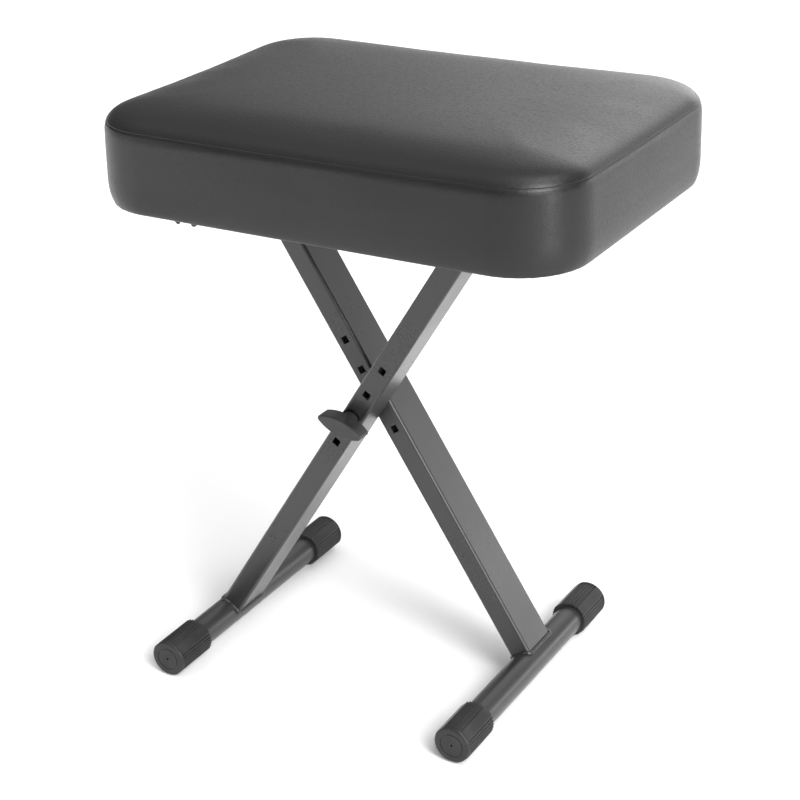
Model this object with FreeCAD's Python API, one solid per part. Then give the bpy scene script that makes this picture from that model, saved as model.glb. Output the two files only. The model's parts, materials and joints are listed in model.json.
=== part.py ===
"""Folding X-frame keyboard bench with a padded seat.

Millimetres, +Z up, +X to the right when seen from the front (the knob side faces -Y).
The origin is on the floor, midway between the four feet.
The front leg leans to the right and carries the seat's hinge. The rear leg leans to the
left, and its cross rod drops into two open hooks under the seat.
"""
import FreeCAD, Part
import math
import os
from FreeCAD import Vector

# Frame: two crossed legs of rectangular tube on round foot bars
foot_spacing = 282.0         # foot bar to foot bar, centre to centre
foot_bar_length = 268.0      # over the end caps
pivot_height = 240.0         # floor to the bolt that holds the cross
leg_width = 20.0             # across the leg, in the plane of the cross
leg_depth = 40.0             # along the bolt
leg_wall = 1.5
leg_corner = 2.6
leg_gap = 4.5                # between the two legs, filled by the spacer
foot_tube_radius = 12.7
foot_tube_wall = 1.5
weld_size = 2.2

# Height adjustment: a row of square holes in each leg
hole_side = 6.4
hole_pitch = 29.0
holes_above_pivot = 2
holes_below_pivot = 1

# Rubber end caps
cap_radius = 16.4
cap_length = 44.0
cap_end_wall = 4.0
cap_edge = 2.4
cap_bore_clearance = 0.05
rib_groups = 4
grooves_per_group = 6
groove_pitch_angle = 10.0    # degrees
groove_radius = 1.1
groove_depth = 1.2
panel_depth = 0.55           # flat panels between the rib groups
disc_radius = 9.6
disc_line_width = 0.8
disc_line_depth = 0.4
vent_radius = 1.1

# Cross rods at the leg tops
rod_radius = 5.0
rod_length = 220.0
rod_edge = 0.8
rod_drop = 13.0              # underside of the seat to the rod's axis
rod_weld_width = 1.9

# Seat
seat_length = 417.0
seat_width = 312.0
seat_offset = 33.0           # the seat sits off centre, towards its hinge side
seat_bottom = 434.5          # floor to the underside of the board
seat_thickness = 81.8
seat_corner = 60.0
seat_crown = 8.0             # middle of the top above its edge
seat_crown_reach = 22.0      # in from the edge, where it has risen by two thirds
seat_flat_inset = 90.0       # seat edge to the flat middle
seat_flat_corner = 4.0
seat_top_edge_in = 4.0
seat_top_edge_down = 12.0
seat_bottom_edge_in = 6.0
seat_bottom_edge_up = 26.0
board_inset = 7.0
board_thickness = 12.0
cushion_clearance = 0.3
cloth_inset = 19.0           # seat edge to the edge of the base cloth
cloth_thickness = 0.8

# Brackets under the seat
bracket_plate = 2.5
bracket_flange = 22.0
bracket_width = 28.0
bracket_bend = 2.0           # inner bend radius
hinge_ear_place = 80.0       # front and rear of the seat's middle line
hinge_ear_radius = 11.0
hinge_ear_corner = 10.5      # rounding of the ear's lower corners
hinge_ear_shoulder = 1.5     # straight part of the ear's side, below the flange
hinge_clearance = 0.06
hook_ear_place = 105.0
hook_clearance = 0.3
hook_flare = 0.5             # how much wider each side of the slot is at the tips
hook_depth = 9.0             # rod axis to the hook tips
hook_tip_width = 4.6
hook_heel = 12.5             # rod axis to the hook's outer side
hook_back = 2.0              # plate left behind the slot, at the tips
hook_corners = (2.0, 1.5, 1.8)   # heel, back tip and front tip

# Screws
screw_spread = 11.0          # bracket middle to screw
screw_radius = 2.0
screw_length = 13.0
screw_head_radius = 3.9
screw_head_height = 2.2
screw_head_rounding = 1.5
screw_play = 0.3
recess_length = 4.4
recess_width = 0.9
recess_depth = 1.1

# Pivot bolt, washer, spacer and knob
bolt_radius = 3.0
bolt_neck_play = 0.1
bolt_neck_length = 3.6
bolt_head_radius = 7.5
bolt_head_height = 3.4
bolt_tip_chamfer = 0.7
bolt_reach = 13.0            # past the washer, into the knob
running_clearance = 0.05
seat_gap = 0.1               # flat faces that turn on each other
washer_radius = 9.0
washer_thickness = 1.6
washer_play = 0.3
spacer_radius = 9.5
knob_length = 42.0
knob_width = 15.0
knob_tip_radius = 2.6
knob_depth = 14.0
knob_tilt = -17.0            # degrees, down to the right
knob_edge = 1.2
hub_radius = 7.4
hub_height = 5.2
knob_bore_end = 2.0          # free bore past the bolt's tip
nut_flats = 10.0
nut_height = 5.0
nut_clearance = 0.05

# Fold: the seat turns over its hinge while the legs close
closed_foot_gap = 0.6        # between the caps of the two foot bars

# Worked out from the sizes above
foot_half_spacing = foot_spacing / 2
pivot_over_foot = pivot_height - cap_radius
lean = math.degrees(math.atan2(foot_half_spacing, pivot_over_foot))
lower_leg = math.hypot(foot_half_spacing, pivot_over_foot)
rod_height = seat_bottom - rod_drop
upper_leg = (rod_height - pivot_height) / math.cos(math.radians(lean))
rod_offset = (rod_height - pivot_height) * math.tan(math.radians(lean))
closed_angle = 2 * math.degrees(math.asin((cap_radius + closed_foot_gap / 2) / lower_leg))
leg_travel = 2 * lean - closed_angle
seat_travel = 90 + lean
fold_ratio = leg_travel / seat_travel
leg_front = leg_gap / 2 + leg_depth
cloth_bottom = seat_bottom - cloth_thickness
flange_bottom = cloth_bottom - bracket_plate

X = Vector(1, 0, 0)
Y = Vector(0, 1, 0)
Z = Vector(0, 0, 1)


def rounded_rectangle(length, width, radius, centre):
    """A flat rectangle with round corners, parallel to the floor."""
    x, y = length / 2, width / 2
    corners = [Vector(-x, -y, 0), Vector(x, -y, 0), Vector(x, y, 0), Vector(-x, y, 0)]
    return rounded_polygon([centre + c for c in corners], radius)


def rounded_polygon(points, radii):
    """A flat face whose corners are rounded by one radius, or by one radius each."""
    count = len(points)
    if not isinstance(radii, (list, tuple)):
        radii = [radii] * count
    starts, ends, edges = [], [], []
    for i in range(count):
        corner = points[i]
        back = (points[i - 1] - corner).normalize()
        ahead = (points[(i + 1) % count] - corner).normalize()
        half = back.getAngle(ahead) / 2
        cut = radii[i] / math.tan(half)
        starts.append(corner + back * cut)
        ends.append(corner + ahead * cut)
    for i in range(count):
        if radii[i] > 0:
            corner = points[i]
            middle = (starts[i] + ends[i]) * 0.5
            inward = (middle - corner).normalize()
            half = (starts[i] - corner).getAngle(inward)
            top = corner + inward * (radii[i] / math.sin(half) - radii[i])
            edges.append(Part.Arc(starts[i], top, ends[i]).toShape())
        following = starts[(i + 1) % count]
        if ends[i].distanceToPoint(following) > 1e-6:
            edges.append(Part.LineSegment(ends[i], following).toShape())
    return Part.Face(Part.Wire(edges))


def rod_along_y(radius, start, length, x=0.0, z=0.0):
    return Part.makeCylinder(radius, length, Vector(x, start, z), Y)


def box(centre, size):
    corner = centre - size * 0.5
    return Part.makeBox(size.x, size.y, size.z, corner)


def revolve_about_y(points):
    """Turn an outline of (radius, y) pairs about the Y axis."""
    outline = [Vector(r, y, 0) for r, y in points]
    face = Part.Face(Part.makePolygon(outline + [outline[0]]))
    return face.revolve(Vector(0, 0, 0), Y, 360)


# Each leg is built upright, with its pivot at the origin, and then leaned.

def leg_tube(front):
    """Rectangular tube, coped to the foot bar and notched for the cross rod."""
    middle = Vector(0, front + leg_depth / 2, -lower_leg)
    length = lower_leg + upper_leg
    outer = rounded_rectangle(leg_width, leg_depth, leg_corner, middle)
    inner = rounded_rectangle(leg_width - 2 * leg_wall, leg_depth - 2 * leg_wall,
                              leg_corner - leg_wall, middle)
    tube = outer.extrude(Z * length).cut(inner.extrude(Z * length))
    cope = rod_along_y(foot_tube_radius, front - 1, leg_depth + 2, z=-lower_leg)
    notch = rod_along_y(rod_radius, front - 1, leg_depth + 2, z=upper_leg)
    tube = tube.cut(cope).cut(notch)
    for step in range(-holes_below_pivot, holes_above_pivot + 1):
        place = Vector(0, front + leg_depth / 2, step * hole_pitch)
        tube = tube.cut(box(place, Vector(hole_side, leg_depth + 2, hole_side)))
    return tube


def foot_tube():
    length = foot_bar_length - 2 * cap_end_wall
    outer = rod_along_y(foot_tube_radius, -length / 2, length, z=-lower_leg)
    inner = rod_along_y(foot_tube_radius - foot_tube_wall, -length / 2 - 1, length + 2, z=-lower_leg)
    return outer.cut(inner)


def foot_weld(front):
    """The bead around the coped end of the leg, on the foot bar."""
    middle = Vector(0, front + leg_depth / 2, -lower_leg)
    leg = rounded_rectangle(leg_width, leg_depth, leg_corner, middle)
    wide = rounded_rectangle(leg_width + 2 * weld_size, leg_depth + 2 * weld_size,
                             leg_corner + weld_size, middle)
    reach = foot_tube_radius + weld_size
    collar = wide.extrude(Z * reach).cut(leg.extrude(Z * reach))
    shell = rod_along_y(reach, front - 10, leg_depth + 20, z=-lower_leg)
    bar = rod_along_y(foot_tube_radius, front - 10, leg_depth + 20, z=-lower_leg)
    return collar.common(shell).cut(bar)


def end_cap(front_end):
    """Rubber cap with four groups of ribs, flat panels between them and a vent in its end."""
    bore = foot_tube_radius + cap_bore_clearance
    cap = Part.makeCylinder(cap_radius, cap_length, Vector(0, 0, 0), Y)
    rim = [e for e in cap.Edges if abs(e.BoundBox.YMax) < 1e-6 and e.Closed]
    cap = cap.makeFillet(cap_edge, rim)
    cap = cap.cut(rod_along_y(bore, cap_end_wall, cap_length))
    cap = cap.cut(rod_along_y(vent_radius, -1, cap_end_wall + 2))
    line = rod_along_y(disc_radius + disc_line_width, -1, 1 + disc_line_depth)
    line = line.cut(rod_along_y(disc_radius, -1, 2 + disc_line_depth))
    cap = cap.cut(line)
    group_turn = 360 / rib_groups
    middle = (grooves_per_group - 1) / 2
    cutters = []
    groove_centre = cap_radius + groove_radius - groove_depth
    for group in range(rib_groups):
        for number in range(grooves_per_group):
            turn = math.radians(group * group_turn + (number - middle) * groove_pitch_angle)
            x, z = groove_centre * math.cos(turn), groove_centre * math.sin(turn)
            cutters.append(rod_along_y(groove_radius, cap_edge, cap_length, x, z))
        panel = box(Vector(cap_radius + 5 - panel_depth, cap_length / 2, 0),
                    Vector(10, cap_length + 2, 2 * cap_radius))
        panel.rotate(Vector(0, 0, 0), Y, (group + 0.5) * group_turn)
        cutters.append(panel)
    cap = cap.cut(cutters)
    if front_end:
        cap.translate(Vector(0, -foot_bar_length / 2, 0))
    else:
        cap.rotate(Vector(0, 0, 0), Z, 180)
        cap.translate(Vector(0, foot_bar_length / 2, 0))
    return cap


def cross_rod():
    half = rod_length / 2
    rod = revolve_about_y([(0, -half), (rod_radius - rod_edge, -half), (rod_radius, -half + rod_edge),
                           (rod_radius, half - rod_edge), (rod_radius - rod_edge, half), (0, half)])
    rod.translate(Z * upper_leg)
    return rod


def rod_weld(face, outward):
    """The bead under the rod, on the outer face of the leg; outward is -1 at the front."""
    inner = rod_radius
    tip = face + outward * rod_weld_width
    bead = revolve_about_y([(inner, face), (inner + rod_weld_width, face), (inner, tip)])
    bead.translate(Z * upper_leg)
    below = box(Vector(0, face, upper_leg - 10), Vector(leg_width, 20, 20))
    return bead.common(below)


def lean_leg(shape, side):
    """Lean a leg piece about the pivot; side +1 leans its top to the right."""
    shape.rotate(Vector(0, 0, 0), Y, side * lean)
    shape.translate(Z * pivot_height)
    return shape


def leg(name, front, side):
    back = front + leg_depth
    pieces = {
        name + "_tube": lean_leg(leg_tube(front), side),
        name + "_foot_tube": lean_leg(foot_tube(), side),
        name + "_foot_weld": lean_leg(foot_weld(front), side),
        name + "_rod": lean_leg(cross_rod(), side),
        name + "_rod_weld_front": lean_leg(rod_weld(front, -1), side),
        name + "_rod_weld_rear": lean_leg(rod_weld(back, 1), side),
    }
    foot = Vector(-side * foot_half_spacing, 0, cap_radius)
    for end in ("front", "rear"):
        cap = end_cap(end == "front")
        cap.translate(foot)
        pieces[name + "_cap_" + end] = cap
    return pieces


# Seat

def seat_outline(inset, height):
    radius = max(seat_corner - inset, seat_flat_corner)
    return rounded_rectangle(seat_length - 2 * inset, seat_width - 2 * inset, radius,
                             Vector(seat_offset, 0, height))


def cushion_levels():
    """Inset and height of each level of the cushion, from its underside to its flat middle."""
    low = seat_bottom + cushion_clearance
    edge = seat_bottom + seat_thickness - seat_crown
    quarter = [math.radians(angle) for angle in (0, 45, 90)]
    levels = []
    for turn in quarter:
        levels.append((seat_bottom_edge_in * (1 - math.sin(turn)),
                       low + seat_bottom_edge_up * (1 - math.cos(turn))))
    for turn in quarter:
        levels.append((seat_top_edge_in * (1 - math.cos(turn)),
                       edge - seat_top_edge_down * (1 - math.sin(turn))))
    for reach in (0.4, 1.0, 2.2):
        levels.append((seat_top_edge_in + reach * seat_crown_reach,
                       edge + seat_crown * (1 - math.exp(-reach))))
    levels.append((seat_flat_inset, edge + seat_crown))
    return levels


def seat_cushion():
    """Crowned cushion with a pocket for the board."""
    wires = [seat_outline(inset, height).OuterWire for inset, height in cushion_levels()]
    cushion = Part.makeLoft(wires, True, True)
    pocket = seat_outline(board_inset - cushion_clearance, seat_bottom)
    return cushion.cut(pocket.extrude(Z * (board_thickness + cushion_clearance)))


def screw_places():
    """Middle of each bracket as (x, y of the ear, direction of its flange), by name."""
    places = {}
    for end, way in (("front", -1), ("rear", 1)):
        places["hinge_bracket_" + end] = (rod_offset, way * hinge_ear_place, -way)
        places["hook_bracket_" + end] = (-rod_offset, way * hook_ear_place, -way)
    return places


def screw_points(x, ear, inward):
    """The two screws of a bracket, in the middle of its flange."""
    y = ear + inward * (bracket_plate + bracket_bend + bracket_flange) / 2
    return [Vector(x - screw_spread, y, 0), Vector(x + screw_spread, y, 0)]


def screw_holes(radius, low, high):
    holes = []
    for x, ear, inward in screw_places().values():
        for point in screw_points(x, ear, inward):
            holes.append(Part.makeCylinder(radius, high - low, point + Z * low, Z))
    return holes


def seat_board():
    board = seat_outline(board_inset, seat_bottom).extrude(Z * board_thickness)
    return board.cut(screw_holes(screw_radius + running_clearance, seat_bottom - 1,
                                 seat_bottom + board_thickness - 1))


def base_cloth():
    cloth = seat_outline(cloth_inset, cloth_bottom).extrude(Z * cloth_thickness)
    return cloth.cut(screw_holes(screw_radius + running_clearance, cloth_bottom - 1, seat_bottom + 1))


def angle_plate(inward):
    """Bent plate: a flange along the board and an ear that hangs from it, middle at x = 0."""
    outer_bend = bracket_bend + bracket_plate
    low = rod_height - hook_depth - hinge_ear_radius
    t = bracket_plate
    outline = [Vector(0, 0, low), Vector(0, 0, cloth_bottom), Vector(0, bracket_flange, cloth_bottom),
               Vector(0, bracket_flange, flange_bottom), Vector(0, t, flange_bottom), Vector(0, t, low)]
    face = rounded_polygon(outline, [0, outer_bend, 0, 0, bracket_bend, 0])
    face.translate(X * (-bracket_width / 2))
    plate = face.extrude(X * bracket_width)
    if inward < 0:
        plate = plate.mirror(Vector(0, 0, 0), Y)
    return plate


def trim_ear(plate, outline):
    """Keep only the part of the hanging ear that lies inside its outline."""
    waste = box(Vector(0, 0, flange_bottom - bracket_bend - 50), Vector(100, 4 * bracket_flange, 100))
    keep = outline.copy()
    keep.translate(Y * (-2 * bracket_flange))
    return plate.cut(waste.cut(keep.extrude(Y * (4 * bracket_flange))))


def bracket_screw_cuts(plate, ear, inward):
    for point in screw_points(0, ear, inward):
        start = point + Vector(0, -ear, flange_bottom - 1)
        hole = Part.makeCylinder(screw_radius + screw_play, bracket_plate + 2, start, Z)
        plate = plate.cut(hole)
    return plate


def hinge_bracket(x, ear, inward):
    """Ear with a round hole that turns on the front leg's cross rod."""
    r = hinge_ear_radius
    half = bracket_width / 2
    top = flange_bottom - bracket_bend + 1
    shoulder = rod_height
    side = top - hinge_ear_shoulder
    left = [Vector(-half, 0, top), Vector(-half, 0, side),
            Vector(-r, 0, shoulder), Vector(-r, 0, shoulder - r)]
    right = [Vector(-p.x, 0, p.z) for p in reversed(left)]
    corner = hinge_ear_corner
    face = rounded_polygon(left + right, [0, 0, 0, corner, corner, 0, 0, 0])
    plate = trim_ear(angle_plate(inward), face)
    hole = rod_along_y(rod_radius + hinge_clearance, -50, 100, z=rod_height)
    plate = bracket_screw_cuts(plate.cut(hole), ear, inward)
    plate.translate(Vector(x, ear, 0))
    return plate


def hook_exit():
    """Slope, sideways over down, of the rod's way out as the seat lifts and the legs close."""
    return fold_ratio / (2 * math.tan(math.radians(lean)) * (1 - fold_ratio / 2))


def hook_slot():
    """Open slot, wider than the rod, slanted the way the rod leaves it."""
    radius = rod_radius + hook_clearance
    away = Vector(hook_exit(), 0, -1).normalize()
    across = Vector(-away.z, 0, away.x)
    reach = away * (3 * hook_depth)
    mouth = radius + 3 * hook_flare
    start = Vector(0, -50, rod_height)
    corners = [start + across * radius, start - across * radius,
               start - across * mouth + reach, start + across * mouth + reach]
    slot = Part.Face(Part.makePolygon(corners + [corners[0]])).extrude(Y * 100)
    return slot.fuse(rod_along_y(radius, -50, 100, z=rod_height))


def hook_bracket(x, ear, inward):
    """Ear with an open slot that the rear leg's cross rod drops into."""
    half = bracket_width / 2
    top = flange_bottom - bracket_bend + 1
    tip = rod_height - hook_depth
    slot_edge = (rod_radius + hook_clearance) * math.hypot(1, hook_exit())
    mouth = hook_depth * hook_exit()
    right = mouth + slot_edge + hook_tip_width
    left = mouth - slot_edge - hook_back
    outline = [Vector(-half, 0, top), Vector(-hook_heel, 0, rod_height - 1), Vector(left, 0, tip),
               Vector(right, 0, tip), Vector(right, 0, rod_height + 1), Vector(half, 0, top)]
    heel, back_tip, front_tip = hook_corners
    face = rounded_polygon(outline, [0, heel, back_tip, front_tip, 0, 0])
    plate = trim_ear(angle_plate(inward), face)
    plate = bracket_screw_cuts(plate.cut(hook_slot()), ear, inward)
    plate.translate(Vector(x, ear, 0))
    return plate


def screw(point):
    """Pan-head screw, driven up into the board."""
    shank = Part.makeCylinder(screw_radius, screw_length, Vector(0, 0, 0), Z)
    head = Part.makeCylinder(screw_head_radius, screw_head_height, Vector(0, 0, -screw_head_height), Z)
    face_edge = [e for e in head.Edges if abs(e.BoundBox.ZMax + screw_head_height) < 1e-6 and e.Closed]
    head = head.makeFillet(screw_head_rounding, face_edge)
    body = head.fuse(shank).removeSplitter()
    for size in (Vector(recess_length, recess_width, 2 * recess_depth),
                 Vector(recess_width, recess_length, 2 * recess_depth)):
        body = body.cut(box(Vector(0, 0, -screw_head_height), size))
    body.translate(point + Z * flange_bottom)
    return body


def seat():
    pieces = {"seat_cushion": seat_cushion(), "seat_board": seat_board(), "seat_base_cloth": base_cloth()}
    for name, (x, ear, inward) in screw_places().items():
        make = hinge_bracket if name.startswith("hinge") else hook_bracket
        pieces[name] = make(x, ear, inward)
        for number, point in enumerate(screw_points(x, ear, inward)):
            pieces[name + "_screw_" + ("left", "right")[number]] = screw(point)
    return pieces


# Pivot bolt, washers and knob, all on the Y axis and then lifted to the pivot

def washer():
    start = -leg_front - washer_thickness
    ring = rod_along_y(washer_radius, start, washer_thickness)
    return ring.cut(rod_along_y(bolt_radius + washer_play, start - 1, washer_thickness + 2))


def spacer():
    thickness = leg_gap - seat_gap
    start = leg_gap / 2 - thickness
    ring = rod_along_y(spacer_radius, start, thickness)
    return ring.cut(rod_along_y(bolt_radius + washer_play, start - 1, thickness + 2))


def pivot_bolt():
    """Carriage bolt from the rear: domed head, square neck in the rear leg, round shank."""
    start = -leg_front - washer_thickness - bolt_reach
    shank = rod_along_y(bolt_radius, start, leg_front - start)
    tip = [e for e in shank.Edges if abs(e.BoundBox.YMax - start) < 1e-6]
    shank = shank.makeChamfer(bolt_tip_chamfer, tip)
    side = hole_side - 2 * bolt_neck_play
    neck = box(Vector(0, leg_front - bolt_neck_length / 2, 0), Vector(side, bolt_neck_length, side))
    neck.rotate(Vector(0, 0, 0), Y, -lean)
    dome_radius = (bolt_head_radius ** 2 + bolt_head_height ** 2) / (2 * bolt_head_height)
    dome = Part.makeSphere(dome_radius, Vector(0, leg_front + bolt_head_height - dome_radius, 0))
    dome = dome.common(rod_along_y(bolt_head_radius + 1, leg_front, bolt_head_height + 1))
    return shank.fuse([neck, dome]).removeSplitter()


def lens_face(y):
    """Pointed oval: two arcs that meet in small round tips, in the plane across the bolt."""
    half_length, half_width = knob_length / 2, knob_width / 2
    r = knob_tip_radius
    # One arc bulges up between the two tip circles and touches both.
    span = half_length - r
    big = (span ** 2 + (half_width - r) ** 2) / (2 * (half_width - r)) + r
    centre_drop = big - half_width
    reach = math.hypot(span, centre_drop)
    ux, uz = span / reach, centre_drop / reach
    touch = Vector(span + r * ux, y, r * uz)
    ends = {}
    for sx in (-1, 1):
        for sz in (-1, 1):
            ends[sx, sz] = Vector(sx * touch.x, y, sz * touch.z)
    edges = [
        Part.Arc(ends[-1, 1], Vector(0, y, half_width), ends[1, 1]).toShape(),
        Part.Arc(ends[1, 1], Vector(half_length, y, 0), ends[1, -1]).toShape(),
        Part.Arc(ends[1, -1], Vector(0, y, -half_width), ends[-1, -1]).toShape(),
        Part.Arc(ends[-1, -1], Vector(-half_length, y, 0), ends[-1, 1]).toShape(),
    ]
    return Part.Face(Part.Wire(edges))


def hexagon(flats, start, length):
    radius = flats / math.sqrt(3)
    corners = [Vector(radius * math.cos(math.radians(60 * k)), start, radius * math.sin(math.radians(60 * k)))
               for k in range(7)]
    return Part.Face(Part.makePolygon(corners)).extrude(Y * length)


def knob_pieces():
    """Two-winged knob with a hub towards the leg and a nut moulded into it."""
    back = -leg_front - washer_thickness - seat_gap
    wing_back = back - hub_height
    wing = lens_face(wing_back - knob_depth).extrude(Y * knob_depth)
    front_rim = [e for e in wing.Edges if e.BoundBox.YMax < wing_back - knob_depth + 1e-6]
    wing = wing.makeFillet(knob_edge, front_rim)
    hub = rod_along_y(hub_radius, wing_back - 1, hub_height + 1)
    knob = wing.fuse(hub).removeSplitter()
    bolt_end = bolt_reach + knob_bore_end
    knob = knob.cut(rod_along_y(bolt_radius + washer_play, back - bolt_end, bolt_end + 1))
    nut_back = back
    pocket = hexagon(nut_flats + 2 * nut_clearance, nut_back - nut_height, nut_height + 1)
    nut = hexagon(nut_flats, nut_back - nut_height, nut_height)
    nut = nut.cut(rod_along_y(bolt_radius + running_clearance, nut_back - nut_height - 1, nut_height + 2))
    knob = knob.cut(pocket)
    for shape in (knob, nut):
        shape.rotate(Vector(0, 0, 0), Y, -knob_tilt)
    return knob, nut


def pivot():
    knob, nut = knob_pieces()
    pieces = {"knob": knob, "knob_nut": nut, "knob_washer": washer(),
              "leg_spacer": spacer(), "pivot_bolt": pivot_bolt()}
    for shape in pieces.values():
        shape.translate(Z * pivot_height)
    return pieces


def main():
    os.makedirs("parts", exist_ok=True)
    pieces = {}
    pieces.update(leg("front_leg", -leg_front, 1))
    pieces.update(leg("rear_leg", leg_gap / 2, -1))
    pieces.update(seat())
    pieces.update(pivot())
    for node, shape in pieces.items():
        if len(shape.Solids) == 1:
            shape = shape.Solids[0]
        shape.exportStep("parts/" + node + ".step")
        print(node, len(shape.Solids), round(shape.Volume, 1), shape.isValid())
    print("lean", round(lean, 3), "rod_offset", round(rod_offset, 3), "rod_height", rod_height)
    print("leg_travel", round(leg_travel, 2), "seat_travel", round(seat_travel, 2))


main()
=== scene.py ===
"""Folding keyboard bench on a pale studio floor.

Metres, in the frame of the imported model: the origin is on the floor, midway between the
feet, +X to the right, +Y to the rear and +Z up.
"""
import json
import math

import bmesh
import bpy
from mathutils import Matrix, Vector, noise
from mathutils.kdtree import KDTree


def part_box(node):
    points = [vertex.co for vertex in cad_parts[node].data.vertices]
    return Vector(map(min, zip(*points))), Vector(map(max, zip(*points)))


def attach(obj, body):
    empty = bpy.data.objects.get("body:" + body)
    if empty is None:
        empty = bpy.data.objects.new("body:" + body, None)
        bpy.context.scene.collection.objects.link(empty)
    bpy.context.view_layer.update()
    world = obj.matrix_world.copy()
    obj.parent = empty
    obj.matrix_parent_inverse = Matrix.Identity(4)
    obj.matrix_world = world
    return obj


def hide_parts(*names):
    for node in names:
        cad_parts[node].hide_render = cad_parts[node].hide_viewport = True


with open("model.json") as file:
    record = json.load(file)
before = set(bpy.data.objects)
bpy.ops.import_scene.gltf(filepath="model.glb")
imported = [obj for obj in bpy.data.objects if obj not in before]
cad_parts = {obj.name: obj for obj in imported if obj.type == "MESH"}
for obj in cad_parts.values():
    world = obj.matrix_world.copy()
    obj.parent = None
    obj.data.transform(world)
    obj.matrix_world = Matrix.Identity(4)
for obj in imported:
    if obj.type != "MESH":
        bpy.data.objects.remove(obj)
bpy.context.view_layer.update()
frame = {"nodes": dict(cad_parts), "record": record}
nodes = frame["nodes"]
scene = bpy.context.scene
MM = 0.001

# Sizes that follow the model
CUSHION_LOW, CUSHION_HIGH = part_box("seat_cushion")
BOARD_LOW, BOARD_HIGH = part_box("seat_board")
CLOTH_LOW, CLOTH_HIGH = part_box("seat_base_cloth")
TUBE_LOW, TUBE_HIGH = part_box("front_leg_foot_tube")
ROD_LOW, ROD_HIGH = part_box("front_leg_rod")
LEG_LOW, LEG_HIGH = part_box("front_leg_tube")
SEAT_MIDDLE = (CUSHION_LOW + CUSHION_HIGH) / 2
CLOTH_INSET = CLOTH_LOW.x - CUSHION_LOW.x
BOARD_INSET = BOARD_LOW.x - CUSHION_LOW.x
FOOT = (TUBE_LOW + TUBE_HIGH) / 2
ROD = (ROD_LOW + ROD_HIGH) / 2
LEAN = math.atan2(ROD.x - FOOT.x, ROD.z - FOOT.z)
FOOT_RADIUS = (TUBE_HIGH.z - TUBE_LOW.z) / 2
ROD_RADIUS = (ROD_HIGH.z - ROD_LOW.z) / 2

# Sizes that no box gives
SEAT_CORNER = 60 * MM
LEG_WIDTH = 20 * MM
LEG_CORNER = 2.6 * MM


# Small tools

def new_object(name, mesh):
    obj = bpy.data.objects.new(name, mesh)
    scene.collection.objects.link(obj)
    return obj


def mesh_object(name, points, faces):
    mesh = bpy.data.meshes.new(name)
    mesh.from_pydata([tuple(p) for p in points], [], faces)
    mesh.validate()
    mesh.update()
    return new_object(name, mesh)


def smooth(obj):
    for face in obj.data.polygons:
        face.use_smooth = True


def apply_modifiers(obj):
    """Bake what the modifiers make into the object's own mesh."""
    graph = bpy.context.evaluated_depsgraph_get()
    mesh = bpy.data.meshes.new_from_object(obj.evaluated_get(graph))
    obj.modifiers.clear()
    old = obj.data
    obj.data = mesh
    mesh.name = obj.name
    bpy.data.meshes.remove(old)


def outline(inset, z, steps=16, straight=14):
    """Points round the seat's outline at one height, anticlockwise, inset from its edge."""
    half_x = (CUSHION_HIGH.x - CUSHION_LOW.x) / 2 - SEAT_CORNER
    half_y = (CUSHION_HIGH.y - CUSHION_LOW.y) / 2 - SEAT_CORNER
    radius = SEAT_CORNER - inset
    corners = [(half_x, half_y, 0), (-half_x, half_y, 90), (-half_x, -half_y, 180), (half_x, -half_y, 270)]
    points = []
    for i, (cx, cy, start) in enumerate(corners):
        for k in range(steps + 1):
            a = math.radians(start + 90 * k / steps)
            points.append(Vector((cx + radius * math.cos(a), cy + radius * math.sin(a), 0)))
        nx, ny, following = corners[(i + 1) % 4]
        a = math.radians(following)
        ahead = Vector((nx + radius * math.cos(a), ny + radius * math.sin(a), 0))
        here = points[-1]
        for k in range(1, straight):
            points.append(here.lerp(ahead, k / straight))
    middle = Vector((SEAT_MIDDLE.x, SEAT_MIDDLE.y, z))
    return [p + middle for p in points]


def stack(name, rings):
    """A closed mesh from a stack of rings of equal count, lowest first, with flat ends."""
    count = len(rings[0])
    points = [p for ring in rings for p in ring]
    faces = [list(range(count - 1, -1, -1))]
    for level in range(len(rings) - 1):
        low, high = level * count, (level + 1) * count
        for k in range(count):
            m = (k + 1) % count
            faces.append([low + k, low + m, high + m, high + k])
    faces.append(list(range((len(rings) - 1) * count, len(rings) * count)))
    return mesh_object(name, points, faces)


# Materials

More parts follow.
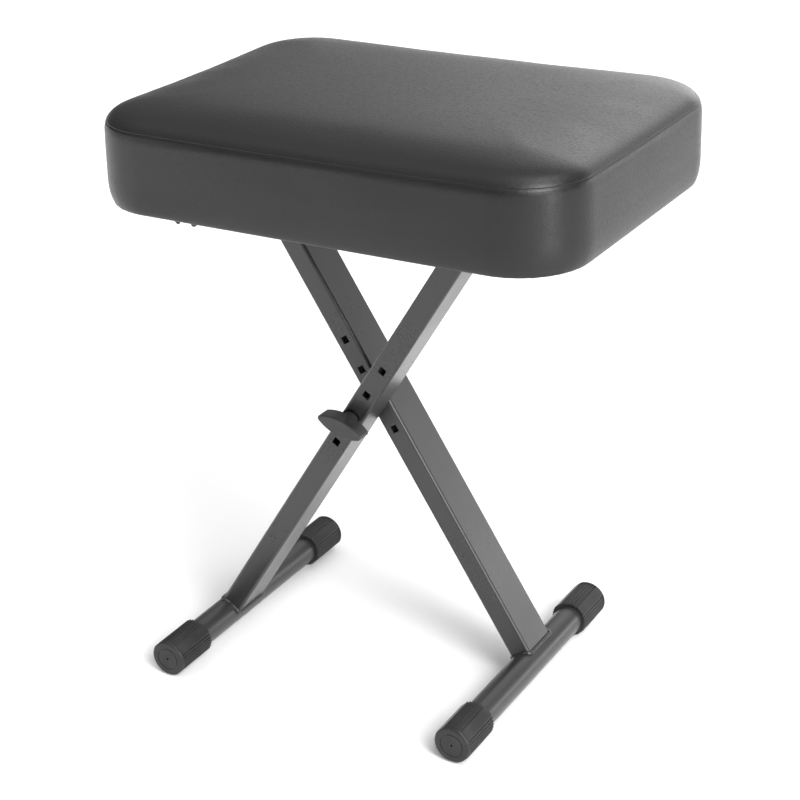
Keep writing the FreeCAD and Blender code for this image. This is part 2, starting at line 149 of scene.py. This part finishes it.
class Shader:
    """A node material with short calls for the nodes that it uses."""

    def __init__(self, name, color, roughness, metallic=0.0):
        self.material = bpy.data.materials.new(name)
        self.material.use_nodes = True
        self.tree = self.material.node_tree
        self.surface = self.tree.nodes["Principled BSDF"]
        self.surface.inputs["Base Color"].default_value = (*color, 1)
        self.surface.inputs["Roughness"].default_value = roughness
        self.surface.inputs["Metallic"].default_value = metallic
        self.place = self.add("ShaderNodeTexCoord").outputs["Object"]

    def add(self, kind, **settings):
        node = self.tree.nodes.new(kind)
        for key, value in settings.items():
            setattr(node, key, value)
        return node

    def link(self, source, target):
        self.tree.links.new(source, target)

    def noise(self, scale, detail=3.0, rough=0.5, stretch=None):
        node = self.add("ShaderNodeTexNoise")
        node.inputs["Scale"].default_value = scale
        node.inputs["Detail"].default_value = detail
        node.inputs["Roughness"].default_value = rough
        self.link(self.stretched(stretch), node.inputs["Vector"])
        return node.outputs["Fac"]

    def cells(self, scale):
        node = self.add("ShaderNodeTexVoronoi")
        node.inputs["Scale"].default_value = scale
        self.link(self.place, node.inputs["Vector"])
        return node.outputs["Distance"]

    def stretched(self, stretch):
        if stretch is None:
            return self.place
        node = self.add("ShaderNodeMapping")
        node.inputs["Scale"].default_value = stretch
        self.link(self.place, node.inputs["Vector"])
        return node.outputs["Vector"]

    def remap(self, value, low, high, to_low, to_high):
        node = self.add("ShaderNodeMapRange")
        for key, number in (("From Min", low), ("From Max", high), ("To Min", to_low), ("To Max", to_high)):
            node.inputs[key].default_value = number
        self.link(value, node.inputs["Value"])
        return node.outputs["Result"]

    def math(self, operation, a, b):
        node = self.add("ShaderNodeMath", operation=operation)
        for socket, value in zip(node.inputs, (a, b)):
            if isinstance(value, (int, float)):
                socket.default_value = value
            else:
                self.link(value, socket)
        return node.outputs["Value"]

    def color(self, value, low, high):
        """Base colour that runs between two colours as a value runs from 0 to 1."""
        node = self.add("ShaderNodeMix", data_type="RGBA")
        self.link(value, node.inputs["Factor"])
        node.inputs["A"].default_value = (*low, 1)
        node.inputs["B"].default_value = (*high, 1)
        self.link(node.outputs["Result"], self.surface.inputs["Base Color"])

    def roughness(self, value):
        self.link(value, self.surface.inputs["Roughness"])

    def bump(self, value, distance, strength=1.0):
        """Add a height to the ones already there."""
        node = self.add("ShaderNodeBump")
        node.inputs["Distance"].default_value = distance
        node.inputs["Strength"].default_value = strength
        self.link(value, node.inputs["Height"])
        target = self.surface.inputs["Normal"]
        if target.is_linked:
            self.link(target.links[0].from_socket, node.inputs["Normal"])
        self.link(node.outputs["Normal"], target)


def grey(value):
    return (value, value, value * 1.03)


def vinyl_material():
    s = Shader("vinyl_grain", grey(0.009), 0.38)
    s.surface.inputs["IOR"].default_value = 1.42
    grain = s.cells(430)
    fine = s.noise(1900, 2)
    broad = s.noise(7, 4)
    s.color(s.remap(broad, 0.35, 0.7, 0, 1), grey(0.007), grey(0.011))
    s.roughness(s.math("ADD", s.remap(grain, 0, 0.9, 0.32, 0.42), s.remap(broad, 0.3, 0.7, -0.03, 0.03)))
    s.bump(grain, 0.12 * MM, 0.55)
    s.bump(fine, 0.025 * MM, 0.35)
    s.bump(s.noise(26, 3), 0.3 * MM, 0.1)
    return s.material


def paint_material(name="frame_paint", value=0.023, roughness=0.29):
    """Satin powder coat: fine orange peel."""
    s = Shader(name, grey(value), roughness)
    s.surface.inputs["IOR"].default_value = 1.55
    peel = s.noise(700, 2)
    broad = s.noise(14, 4)
    s.color(s.remap(broad, 0.3, 0.75, 0, 1), grey(value * 0.9), grey(value * 1.15))
    s.roughness(s.math("ADD", s.remap(broad, 0.3, 0.7, roughness - 0.04, roughness + 0.05),
                       s.remap(peel, 0.3, 0.7, -0.01, 0.01)))
    s.bump(s.noise(160, 2), 0.02 * MM, 0.1)
    return s.material


def rubber_material():
    s = Shader("cap_rubber_matt", grey(0.02), 0.5)
    s.surface.inputs["IOR"].default_value = 1.4
    dust = s.noise(60, 5, 0.6)
    fine = s.noise(1500, 2)
    s.color(s.remap(dust, 0.4, 0.75, 0, 1), grey(0.017), grey(0.03))
    s.roughness(s.remap(dust, 0.3, 0.7, 0.34, 0.44))
    s.bump(fine, 0.08 * MM, 0.4)
    return s.material


def plastic_material():
    s = Shader("knob_plastic_grained", grey(0.03), 0.42)
    spark = s.cells(1500)
    broad = s.noise(90, 3)
    s.color(s.remap(broad, 0.35, 0.7, 0, 1), grey(0.022), grey(0.03))
    s.roughness(s.remap(broad, 0.3, 0.7, 0.38, 0.48))
    s.bump(spark, 0.05 * MM, 0.5)
    return s.material


def zinc_material(name="zinc_plate", brightness=1.0):
    s = Shader(name, grey(0.56 * brightness), 0.3, 1.0)
    grain = s.noise(300, 4, 0.6)
    s.color(s.remap(grain, 0.3, 0.7, 0, 1), grey(0.42 * brightness), grey(0.61 * brightness))
    s.roughness(s.remap(grain, 0.3, 0.7, 0.25, 0.42))
    s.bump(s.noise(900, 2), 0.03 * MM, 0.4)
    return s.material


def wood_material():
    s = Shader("plywood_face", (0.5, 0.36, 0.2), 0.7)
    rings = s.noise(5, 5, 0.6, stretch=(1, 14, 40))
    s.color(s.remap(rings, 0.3, 0.7, 0, 1), (0.36, 0.23, 0.12), (0.6, 0.45, 0.27))
    s.roughness(s.remap(rings, 0.3, 0.7, 0.6, 0.8))
    s.bump(rings, 0.2 * MM, 0.4)
    return s.material


def cloth_material():
    s = Shader("base_cloth_nonwoven", grey(0.02), 0.9)
    fibre = s.noise(900, 4, 0.7, stretch=(1, 3, 1))
    points = s.cells(420)
    s.color(s.remap(fibre, 0.3, 0.7, 0, 1), grey(0.014), grey(0.03))
    s.roughness(s.remap(fibre, 0.3, 0.7, 0.82, 0.95))
    s.bump(points, 0.12 * MM, 0.6)
    s.bump(fibre, 0.1 * MM, 0.5)
    return s.material


def nylon_material():
    s = Shader("spacer_nylon_black", grey(0.03), 0.4)
    fine = s.noise(800, 2)
    s.color(s.remap(fine, 0.3, 0.7, 0, 1), grey(0.026), grey(0.036))
    s.roughness(s.remap(fine, 0.3, 0.7, 0.36, 0.46))
    s.bump(fine, 0.03 * MM, 0.3)
    return s.material


VINYL = vinyl_material()
PAINT = paint_material()
BRACKET_PAINT = paint_material("bracket_paint", 0.022, 0.42)
RUBBER = rubber_material()
PLASTIC = plastic_material()
ZINC = zinc_material()
DULL_ZINC = zinc_material("zinc_dulled", 0.15)
WOOD = wood_material()
CLOTH = cloth_material()
NYLON = nylon_material()
BY_SLOT = {
    "vinyl": VINYL, "frame_steel": PAINT, "bracket_steel": BRACKET_PAINT, "cap_rubber": RUBBER,
    "knob_plastic": PLASTIC, "zinc_steel": ZINC, "plywood": WOOD, "base_cloth": CLOTH, "spacer_nylon": NYLON,
}


def dress(obj, material):
    obj.data.materials.clear()
    obj.data.materials.append(material)


def dress_nodes():
    for part in frame["record"]["subparts"]:
        dress(nodes[part["node"]], BY_SLOT[part["material_slot"]])
    dress(nodes["knob_washer"], DULL_ZINC)


# Camera, light and floor

CAMERA_PLACE = (0.75867, -1.26493, 0.90453)
CAMERA_TURN = (30.19, 24.26, -1.35)      # azimuth, elevation and roll in degrees
FOCAL_PIXELS, PHOTO_PIXELS, SENSOR = 1904.28, 800, 36


def make_camera():
    """Solved from the photograph's straight edges, holes and end caps."""
    azimuth, elevation, roll = (math.radians(angle) for angle in CAMERA_TURN)
    right = Vector((math.cos(azimuth), math.sin(azimuth), 0))
    back = Vector((math.sin(azimuth) * math.cos(elevation), -math.cos(azimuth) * math.cos(elevation),
                   math.sin(elevation)))
    up = back.cross(right)
    rolled_right = math.cos(roll) * right + math.sin(roll) * up
    rolled_up = math.cos(roll) * up - math.sin(roll) * right
    data = bpy.data.cameras.new("studio_camera")
    data.sensor_width = SENSOR
    data.lens = FOCAL_PIXELS / PHOTO_PIXELS * SENSOR
    camera = new_object("studio_camera", data)
    turn = Matrix((rolled_right, rolled_up, back)).transposed().to_4x4()
    camera.matrix_world = Matrix.Translation(Vector(CAMERA_PLACE)) @ turn
    scene.camera = camera


def heading(azimuth, elevation):
    """Unit vector; azimuth is measured from +X towards +Y."""
    a, e = math.radians(azimuth), math.radians(elevation)
    return Vector((math.cos(a) * math.cos(e), math.sin(a) * math.cos(e), math.sin(e)))


def panel(name, place, target, size, power):
    data = bpy.data.lights.new(name, "AREA")
    data.shape = "RECTANGLE"
    data.size, data.size_y = size
    data.energy = power
    light = new_object(name, data)
    light.location = place
    light.rotation_euler = (Vector(target) - Vector(place)).to_track_quat("-Z", "Y").to_euler()


# Soft sources in the studio's surround: azimuth, elevation, half width in degrees, brightness
SOFT_SOURCES = [
    (54, -1, 9, 5.2),
    (94, 15, 14, 3.7),
    (-28, 40, 9, 22.0),
    (-38, 20, 8, 8.0),
    (20, 70, 11, 5.0),
    (200, 74, 26, 0.9),
]
SURROUND = 0.12

# Area lights: name, place, target, size in metres, power in watts
PANELS = [
    ("strip_right", (1.50, -0.58, 0.45), (0.15, 0, 0.40), (0.35, 0.9), 5),
    ("fill_left", (-1.25, -1.35, 0.40), (0, 0, 0.40), (0.9, 0.8), 2.5),
]
FLOOR_HALF = 30
FLOOR_DROP = 0.5 * MM


def make_surround():
    world = bpy.data.worlds.new("studio")
    world.use_nodes = True
    tree = world.node_tree
    background = tree.nodes["Background"]
    direction = tree.nodes.new("ShaderNodeTexCoord").outputs["Generated"]
    total = None
    for azimuth, elevation, width, brightness in SOFT_SOURCES:
        dot = tree.nodes.new("ShaderNodeVectorMath")
        dot.operation = "DOT_PRODUCT"
        dot.inputs[1].default_value = heading(azimuth, elevation)
        tree.links.new(direction, dot.inputs[0])
        sharp = 1 / math.radians(width) ** 2
        fall = tree.nodes.new("ShaderNodeMath")
        fall.operation = "MULTIPLY_ADD"
        fall.inputs[1].default_value = sharp
        fall.inputs[2].default_value = math.log(brightness) - sharp
        tree.links.new(dot.outputs["Value"], fall.inputs[0])
        lobe = tree.nodes.new("ShaderNodeMath")
        lobe.operation = "EXPONENT"
        tree.links.new(fall.outputs["Value"], lobe.inputs[0])
        add = tree.nodes.new("ShaderNodeMath")
        add.operation = "ADD"
        tree.links.new(lobe.outputs["Value"], add.inputs[0])
        if total is None:
            add.inputs[1].default_value = SURROUND
        else:
            tree.links.new(total, add.inputs[1])
        total = add.outputs["Value"]
    seen = tree.nodes.new("ShaderNodeLightPath").outputs["Is Camera Ray"]
    backdrop = tree.nodes.new("ShaderNodeMath")
    backdrop.operation = "MAXIMUM"
    tree.links.new(total, backdrop.inputs[0])
    tree.links.new(seen, backdrop.inputs[1])
    background.inputs["Color"].default_value = (1, 1, 1, 1)
    tree.links.new(backdrop.outputs["Value"], background.inputs["Strength"])
    scene.world = world


def make_studio():
    scene.view_settings.view_transform = "Standard"
    make_surround()
    for settings in PANELS:
        panel(*settings)
    bm = bmesh.new()
    bmesh.ops.create_grid(bm, x_segments=2, y_segments=2, size=FLOOR_HALF)
    mesh = bpy.data.meshes.new("floor")
    bm.to_mesh(mesh)
    bm.free()
    floor = new_object("floor", mesh)
    floor.location.z = -FLOOR_DROP
    s = Shader("pale_floor", (0.92, 0.92, 0.92), 0.7)
    s.color(s.remap(s.noise(2, 2), 0.3, 0.7, 0, 1), (0.915, 0.915, 0.915), (0.925, 0.925, 0.925))
    floor.data.materials.append(s.material)


# Cushion

BOTTOM_EDGE_IN, BOTTOM_EDGE_UP = 6 * MM, 26 * MM
SEAM = CUSHION_HIGH.z - 16.3 * MM    # where the top panel is sewn to the side band
SEAM_IN = 2.0 * MM
SEAM_DEPTH = 0.5 * MM
SHOULDER, SHOULDER_REACH = 5.0 * MM, 4.0 * MM
CROWN, CROWN_REACH = 10.8 * MM, 26.0 * MM
SIDE_ROLL, ROLL_HEIGHT = 1.5 * MM, 8.0 * MM
UNDERSIDE_FINE, UNDERSIDE_COARSE = (70, 40, 24, 20, 16, 12, 9), (70, 30, 12)
SIDE_SWELL, TOP_SWELL = 1.1 * MM, 1.1 * MM
FOAM_HOLD = 0.24             # share of the swelling that the firm foam lets through
FILL_FRAMES, FILL_QUALITY = 20, 6
FILL_MASS, FILL_STRETCH, FILL_BEND, FILL_PRESSURE = 0.4, 60, 30, 4
NEIGHBOURS, NEIGHBOUR_REACH = 60, 14 * MM
PLEAT_WAVES, PLEAT_DEPTH, PLEAT_FADE = 34, 0.5 * MM, 11 * MM
CREASE_DROP, CREASE_BAND, CREASE_DEPTH = 5 * MM, 4 * MM, 0.45 * MM
LIP = CUSHION_LOW.z - (CLOTH_LOW.z - 0.1 * MM)
RING_TURN = SEAT_CORNER - 6 * MM


def cushion_profile(fine):
    """Inset and height of each ring, from the underside to the middle of the top."""
    low = CUSHION_LOW.z - LIP
    side_low = low + BOTTOM_EDGE_UP
    rows = [(inset * MM, low) for inset in (UNDERSIDE_FINE if fine else UNDERSIDE_COARSE)]
    turns = 12 if fine else 6
    for k in range(turns):
        a = math.radians(90 * k / turns)
        rows.append((BOTTOM_EDGE_IN * (1 - math.sin(a)), low + BOTTOM_EDGE_UP * (1 - math.cos(a))))
    levels = 28 if fine else 6
    side_high = SEAM - 0.8 * MM
    for k in range(levels + 1):
        up = k / levels
        z = side_low + (side_high - side_low) * up
        roll = max(0.0, 1 - (SEAM - z) / ROLL_HEIGHT)
        rows.append(((SEAM_IN - SIDE_ROLL) * up * up + SIDE_ROLL * roll * roll, z))
    if fine:
        rows.append((SEAM_IN + 0.7 * SEAM_DEPTH, SEAM - 0.3 * MM))
        rows.append((SEAM_IN + SEAM_DEPTH, SEAM))
        rows.append((SEAM_IN + 0.7 * SEAM_DEPTH, SEAM + 0.3 * MM))
    half = (CUSHION_HIGH.y - CUSHION_LOW.y) / 2
    start = SEAM_IN + 0.2 * MM
    reach, step = 0.0, (0.25 if fine else 2) * MM
    while start + reach < half * 0.97:
        drop = SHOULDER * math.exp(-reach / SHOULDER_REACH) + CROWN * math.exp(-reach / CROWN_REACH)
        rows.append((start + reach, CUSHION_HIGH.z - drop))
        reach += step
        step *= 1.12
    return rows


def seat_ring(inset, z, steps, straight):
    """Outline at an inset that may pass the corner radius."""
    if inset < RING_TURN:
        return outline(inset, z, steps, straight)
    extra = inset - RING_TURN
    half_x = (CUSHION_HIGH.x - CUSHION_LOW.x) / 2 - RING_TURN
    half_y = (CUSHION_HIGH.y - CUSHION_LOW.y) / 2 - RING_TURN
    kx, ky = (half_x - extra) / half_x, (half_y - extra) / half_y
    middle = Vector((SEAT_MIDDLE.x, SEAT_MIDDLE.y, z))
    ring = outline(RING_TURN, z, steps, straight)
    return [middle + Vector(((p - middle).x * kx, (p - middle).y * ky, 0)) for p in ring]


def cushion_skin(name, fine, swelling):
    """The cover's skin; swelling is how much of the simulated swelling is still to come."""
    rings = []
    for inset, z in cushion_profile(fine):
        part = max(0.0, min(1.0, (z - CUSHION_LOW.z) / BOTTOM_EDGE_UP))
        drop = TOP_SWELL * swelling * max(0.0, min(1.0, (z - SEAM + 20 * MM) / (28 * MM)))
        ring = seat_ring(inset + SIDE_SWELL * swelling * part, z - drop, *((22, 44) if fine else (12, 16)))
        rings.append(ring)
    return stack(name, rings)


def remesh(obj, voxel):
    modifier = obj.modifiers.new("even", "REMESH")
    modifier.mode = "VOXEL"
    modifier.voxel_size = voxel
    apply_modifiers(obj)


def relax(obj, factor, turns):
    modifier = obj.modifiers.new("relax", "SMOOTH")
    modifier.factor = factor
    modifier.iterations = turns
    apply_modifiers(obj)


def swelling_of(obj, held, cap):
    """Fill the skin with pressure, held points pinned; how far each point moves."""
    group = obj.vertex_groups.new(name="held")
    group.add(held, 1.0, "REPLACE")
    start = [v.co.copy() for v in obj.data.vertices]
    modifier = obj.modifiers.new("fill", "CLOTH")
    settings = modifier.settings
    settings.quality = FILL_QUALITY
    settings.mass = FILL_MASS
    settings.tension_stiffness = FILL_STRETCH
    settings.compression_stiffness = FILL_STRETCH
    settings.bending_stiffness = FILL_BEND
    settings.use_pressure = True
    settings.uniform_pressure_force = FILL_PRESSURE
    settings.effector_weights.gravity = 0
    settings.vertex_group_mass = "held"
    modifier.collision_settings.use_collision = False
    for number in range(1, FILL_FRAMES + 1):
        scene.frame_set(number)
    apply_modifiers(obj)
    obj.vertex_groups.clear()
    scene.frame_set(1)
    moves = []
    for vertex, was in zip(obj.data.vertices, start):
        step = vertex.co - was
        if step.length > cap:
            step = step * (cap / step.length)
        moves.append(step * FOAM_HOLD)
    return start, moves


def follow(obj, places, moves):
    """Move each point as the nearest simulated points moved."""
    tree = KDTree(len(places))
    for i, place in enumerate(places):
        tree.insert(place, i)
    tree.balance()
    for vertex in obj.data.vertices:
        total, share = Vector(), 0.0
        for _, i, distance in tree.find_n(vertex.co, NEIGHBOURS):
            weight = 1 / (distance + NEIGHBOUR_REACH) ** 2
            total += moves[i] * weight
            share += weight
        vertex.co += total / share


def corner_angle(point):
    """How far into a corner a point lies: 0 on the straights, up to 1 in mid-corner, and its angle."""
    half_x = (CUSHION_HIGH.x - CUSHION_LOW.x) / 2 - SEAT_CORNER
    half_y = (CUSHION_HIGH.y - CUSHION_LOW.y) / 2 - SEAT_CORNER
    dx, dy = abs(point.x - SEAT_MIDDLE.x) - half_x, abs(point.y - SEAT_MIDDLE.y) - half_y
    if dx <= 0 or dy <= 0:
        return 0.0, 0.0
    angle = math.atan2(dy, dx)
    return math.sin(2 * angle), angle


def gather_corners(obj):
    """Pleats where the cover is drawn under the corners, fading up the side."""
    low = CUSHION_LOW.z
    for vertex in obj.data.vertices:
        weight, angle = corner_angle(vertex.co)
        if weight <= 0:
            continue
        height = vertex.co.z - low
        wave = math.cos(angle * PLEAT_WAVES) * 0.5 + noise.noise(vertex.co * 90) * 0.8
        if height < 0.5 * MM:
            vertex.co.z -= 0.55 * MM * weight * max(0.0, wave)
        else:
            fade = math.exp(-height / PLEAT_FADE)
            outward = Vector((math.cos(angle) * math.copysign(1, vertex.co.x - SEAT_MIDDLE.x),
                              math.sin(angle) * math.copysign(1, vertex.co.y - SEAT_MIDDLE.y), 0))
            vertex.co -= outward * (PLEAT_DEPTH * weight * fade * (1 - wave))


def board_cutter():
    """The room for the board inside the cover, and the opening under it."""
    clear = 0.3 * MM
    lip_top = BOARD_LOW.z - 0.05 * MM
    under = CUSHION_LOW.z - 10 * MM
    hole = CLOTH_INSET + 0.05 * MM
    room = BOARD_INSET - clear
    levels = [(hole, under), (hole, lip_top), (room, lip_top), (room, BOARD_HIGH.z + clear)]
    return stack("board_room", [outline(inset, z) for inset, z in levels])


def crease_band(obj):
    """Long faint creases in the side band, below the seam."""
    for vertex in obj.data.vertices:
        below = (SEAM - CREASE_DROP - vertex.co.z) / CREASE_BAND
        if abs(below) > 2.5:
            continue
        flat = Vector((vertex.co.x - SEAT_MIDDLE.x, vertex.co.y - SEAT_MIDDLE.y, 0))
        along = Vector((vertex.co.x * 9, vertex.co.y * 9, vertex.co.z * 200))
        depth = max(0.0, noise.noise(along) - 0.1) * CREASE_DEPTH * math.exp(-below * below)
        vertex.co -= flat.normalized() * depth


def make_cushion():
    cushion = cushion_skin("seat_cover", True, 1)
    body = cushion_skin("seat_body", False, 1)
    remesh(body, 5 * MM)
    relax(body, 0.5, 2)
    fixed_below = CUSHION_LOW.z + 4 * MM
    held = [v.index for v in body.data.vertices if v.co.z < fixed_below]
    places, moves = swelling_of(body, held, 5 * MM)
    bpy.data.objects.remove(body)
    follow(cushion, places, moves)
    crease_band(cushion)
    gather_corners(cushion)
    cutter = board_cutter()
    cut = cushion.modifiers.new("board_room", "BOOLEAN")
    cut.object = cutter
    cut.operation = "DIFFERENCE"
    cut.solver = "EXACT"
    apply_modifiers(cushion)
    bpy.data.objects.remove(cutter)
    smooth(cushion)
    dress(cushion, VINYL)
    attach(cushion, "seat")
    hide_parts("seat_cushion")
    return cushion


# Staples that hold the cover and the base cloth

STAPLE_WIDTH, STAPLE_WIRE, STAPLE_SPACING = 10 * MM, 0.9 * MM, 34 * MM
STAPLE_INSET = 7 * MM        # from the edge of the base cloth
STAPLE_SKEW = 0.25           # radians


def make_staples():
    path = outline(CLOTH_INSET + STAPLE_INSET, CLOTH_LOW.z, steps=6, straight=40)
    bm = bmesh.new()
    travelled, last = 0.0, 0.0
    for k in range(len(path)):
        here, ahead = path[k], path[(k + 1) % len(path)]
        travelled += (ahead - here).length
        if travelled - last < STAPLE_SPACING:
            continue
        last = travelled
        along = (ahead - here).normalized()
        turn = Matrix.Rotation(math.atan2(along.y, along.x) + STAPLE_SKEW * math.sin(k * 1.7), 4, "Z")
        made = bmesh.ops.create_cube(bm, size=1)["verts"]
        for v in made:
            size = Vector((STAPLE_WIDTH, STAPLE_WIRE * 1.4, STAPLE_WIRE))
            v.co = turn @ (v.co * size) + here
            v.co.z -= STAPLE_WIRE * 0.5
    bmesh.ops.bevel(bm, geom=bm.edges[:], offset=STAPLE_WIRE * 0.3, segments=2, affect="EDGES")
    mesh = bpy.data.meshes.new("base_staples")
    bm.to_mesh(mesh)
    bm.free()
    staples = new_object("base_staples", mesh)
    smooth(staples)
    dress(staples, ZINC)
    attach(staples, "seat")


# Weld beads, rippled as the torch leaves them

RIPPLE = 1.7 * MM
BEAD_SIDES = 10
BEAD_STEP = 0.34 * MM
FOOT_BEAD_RADIUS, ROD_BEAD_RADIUS = 2.1 * MM, 1.5 * MM
BEAD_OFFSET = 0.5 * MM       # from the bar's or rod's skin to the middle of the bead
ROD_BEAD_POINTS = 60


def bead(name, path, radius, closed):
    """A tube along a path, its radius swelling and falling once per ripple."""
    sides = BEAD_SIDES
    rings = []
    travelled = 0.0
    count = len(path)
    for k in range(count):
        here = path[k]
        ahead = path[(k + 1) % count] if closed else path[min(k + 1, count - 1)]
        behind = path[k - 1] if closed else path[max(k - 1, 0)]
        along = (ahead - behind).normalized()
        across = along.orthogonal().normalized() if not rings else side_of(along, rings[-1][1])
        other = along.cross(across)
        # Each ripple swells towards its end, and the open ends taper
        phase = (travelled / RIPPLE) % 1.0
        size = radius * (0.86 + 0.14 * math.sqrt(phase) + 0.06 * noise.noise(here * 400))
        if not closed:
            size *= min(1.0, 0.35 + 0.65 * min(k, count - 1 - k) / (0.08 * count))
        ring = []
        for i in range(sides):
            turn = math.tau * i / sides
            ring.append(here + (across * math.cos(turn) + other * math.sin(turn)) * size)
        rings.append((ring, across))
        travelled += (ahead - here).length
    points = [p for ring, _ in rings for p in ring]
    faces = []
    for k in range(count if closed else count - 1):
        low, high = k * sides, (k + 1) % count * sides
        for i in range(sides):
            m = (i + 1) % sides
            faces.append([low + i, low + m, high + m, high + i])
    if not closed:
        faces.append(list(range(sides - 1, -1, -1)))
        faces.append([(count - 1) * sides + i for i in range(sides)])
    return mesh_object(name, points, faces)


def side_of(along, last):
    """The last side direction, made square to the way along."""
    return (last - along * last.dot(along)).normalized()


def evenly(path, step, closed):
    """Points along a path, one step apart."""
    ends = path + [path[0]] if closed else path
    made, left = [ends[0]], step
    for start, end in zip(ends, ends[1:]):
        length = (end - start).length
        place = left
        while place < length:
            made.append(start.lerp(end, place / length))
            place += step
        left = place - length
    return made


def leg_outline():
    """The leg's section in its own plane: across the leg and along the bolt."""
    depth = LEG_HIGH.y - LEG_LOW.y
    half_x, half_y = LEG_WIDTH / 2 - LEG_CORNER, depth / 2 - LEG_CORNER
    points = []
    corners = [(half_x, half_y, 0), (-half_x, half_y, 90), (-half_x, -half_y, 180), (half_x, -half_y, 270)]
    for cx, cy, start in corners:
        for k in range(7):
            a = math.radians(start + 15 * k)
            points.append((cx + LEG_CORNER * math.cos(a), cy + LEG_CORNER * math.sin(a)))
    return points


def foot_bead(leg, side):
    """Bead round the coped end of a leg, where it meets the foot bar."""
    low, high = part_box(leg + "_tube")
    middle = (low.y + high.y) / 2
    turn = Matrix.Rotation(side * LEAN, 3, "Y")
    foot = Vector((FOOT.x * side, 0, FOOT.z))
    path = []
    for x, y in leg_outline():
        out = Vector((x, y, 0)).normalized() * 0.3 * MM
        rise = math.sqrt(FOOT_RADIUS ** 2 - x ** 2) + BEAD_OFFSET
        path.append(foot + turn @ Vector((x + out.x, middle + y + out.y, rise)))
    return bead(leg + "_foot_bead", evenly(path, BEAD_STEP, True), FOOT_BEAD_RADIUS, True)


def rod_bead(leg, side, end):
    """Bead under a cross rod, on the outer face of its leg."""
    low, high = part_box(leg + "_tube")
    face = low.y if end == "front" else high.y
    turn = Matrix.Rotation(side * LEAN, 3, "Y")
    rod = Vector((ROD.x * side, 0, ROD.z))
    reach = ROD_RADIUS + BEAD_OFFSET
    path = []
    for k in range(ROD_BEAD_POINTS):
        a = math.radians(184 + 172 * k / (ROD_BEAD_POINTS - 1))
        path.append(rod + turn @ Vector((reach * math.cos(a), 0, reach * math.sin(a))) + Vector((0, face, 0)))
    return bead(leg + "_rod_bead_" + end, path, ROD_BEAD_RADIUS, False)


def weld(obj, leg, node):
    smooth(obj)
    dress(obj, PAINT)
    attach(obj, leg)
    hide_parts(node)


def make_welds():
    for leg, side in (("front_leg", 1), ("rear_leg", -1)):
        weld(foot_bead(leg, side), leg, leg + "_foot_weld")
        for end in ("front", "rear"):
            weld(rod_bead(leg, side, end), leg, leg + "_rod_weld_" + end)


dress_nodes()
make_camera()
make_studio()
make_cushion()
make_staples()
make_welds()
